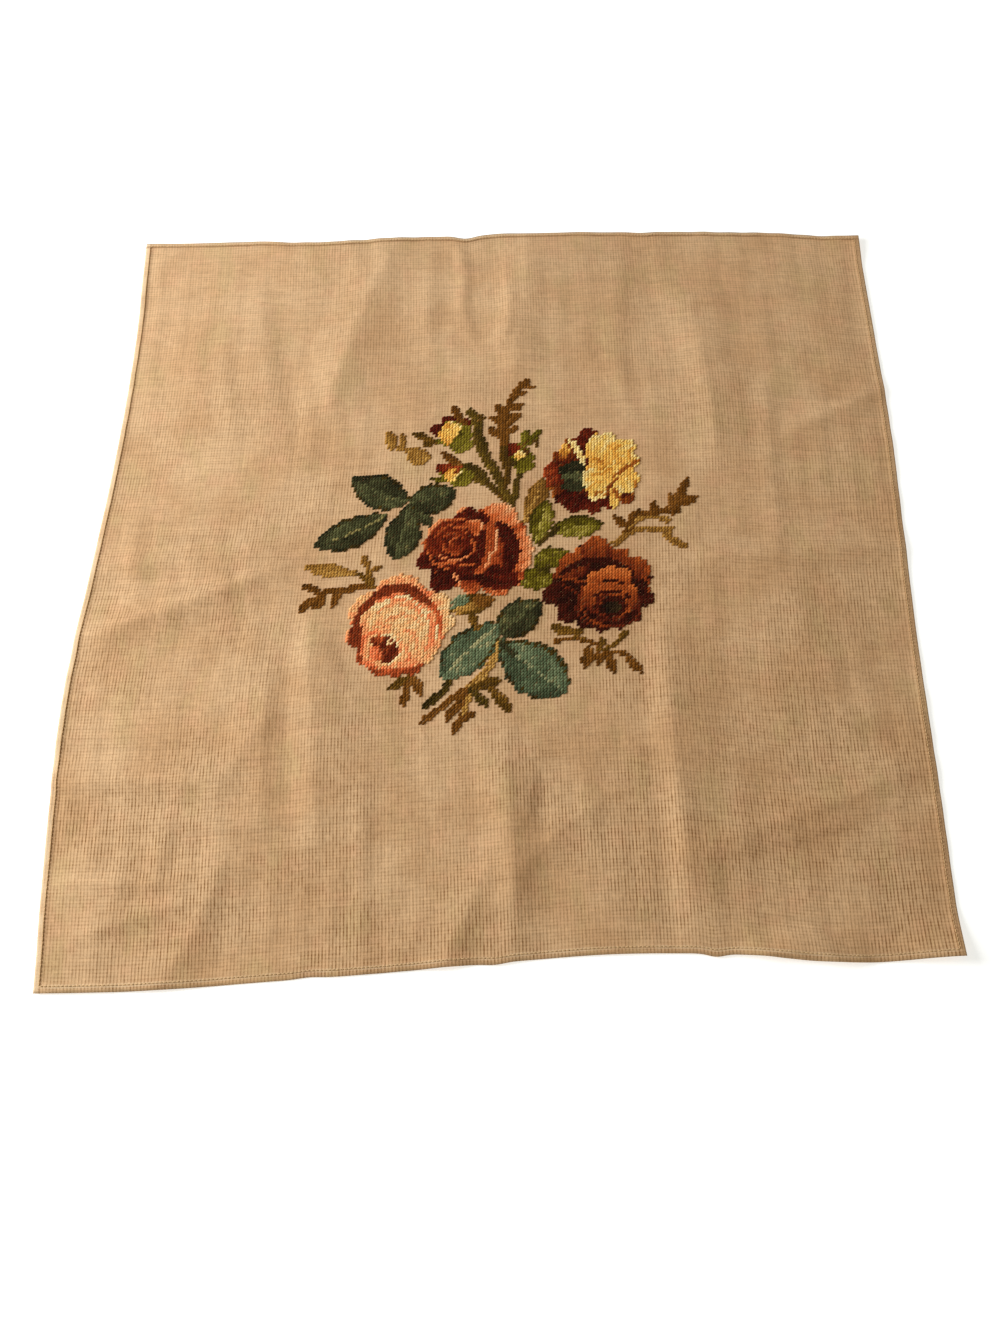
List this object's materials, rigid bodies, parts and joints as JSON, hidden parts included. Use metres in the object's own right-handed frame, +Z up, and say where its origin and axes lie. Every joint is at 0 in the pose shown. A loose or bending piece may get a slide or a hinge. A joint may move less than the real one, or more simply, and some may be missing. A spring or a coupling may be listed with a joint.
{
  "type": "needlepoint canvas panel",
  "caption": "Square canvas panel with a narrow turned hem and a spray of roses worked in wool at its middle, lying flat with old storage folds.",
  "frame": {"origin": "middle of the panel's box, on the surface that it lies on", "axes": "+Z up, off the canvas; +X to the right along the near hem; +Y away, to the far hem"},
  "size_m": [0.6756, 0.6862, 0.0083],
  "materials": {
    "canvas": "double-thread cotton canvas weave, tan, matt",
    "wool_brown": "wool tent stitch, brown, matt",
    "wool_dark_green": "wool tent stitch, dark green, matt",
    "wool_dark_teal": "wool tent stitch, dark teal, matt",
    "wool_gold": "wool tent stitch, gold, matt",
    "wool_green": "wool tent stitch, green, matt",
    "wool_maroon": "wool tent stitch, maroon, matt",
    "wool_olive": "wool tent stitch, olive, matt",
    "wool_peach": "wool tent stitch, peach, matt",
    "wool_rust": "wool tent stitch, rust, matt",
    "wool_tan": "wool tent stitch, tan, matt",
    "wool_teal": "wool tent stitch, teal, matt"
  },
  "bodies": {
    "root": {"canvas": "canvas", "rose_rust": "wool_rust", "rose_peach": "wool_peach", "rose_maroon": "wool_maroon", "rose_gold": "wool_gold", "bud_high": "wool_gold", "bud_left": "wool_gold", "bud_right": "wool_rust", "leaf_teal_1": "wool_dark_teal", "leaf_teal_2": "wool_dark_teal", "leaf_teal_3": "wool_dark_teal", "leaf_teal_4": "wool_dark_teal", "leaf_teal_5": "wool_teal", "leaf_teal_6": "wool_teal", "leaf_teal_7": "wool_teal", "leaf_green_1": "wool_green", "leaf_green_2": "wool_green", "leaf_green_3": "wool_green", "leaf_green_4": "wool_green", "leaf_green_5": "wool_olive", "leaf_tan": "wool_tan", "sprig_far": "wool_brown", "sprig_far_left": "wool_tan", "sprig_left": "wool_olive", "sprig_right": "wool_brown", "sprig_near_right": "wool_brown", "sprig_near": "wool_olive", "stem_buds": "wool_dark_green", "stalks_near": "wool_olive", "stalk_teal": "wool_dark_teal"}
  },
  "joints": []
}
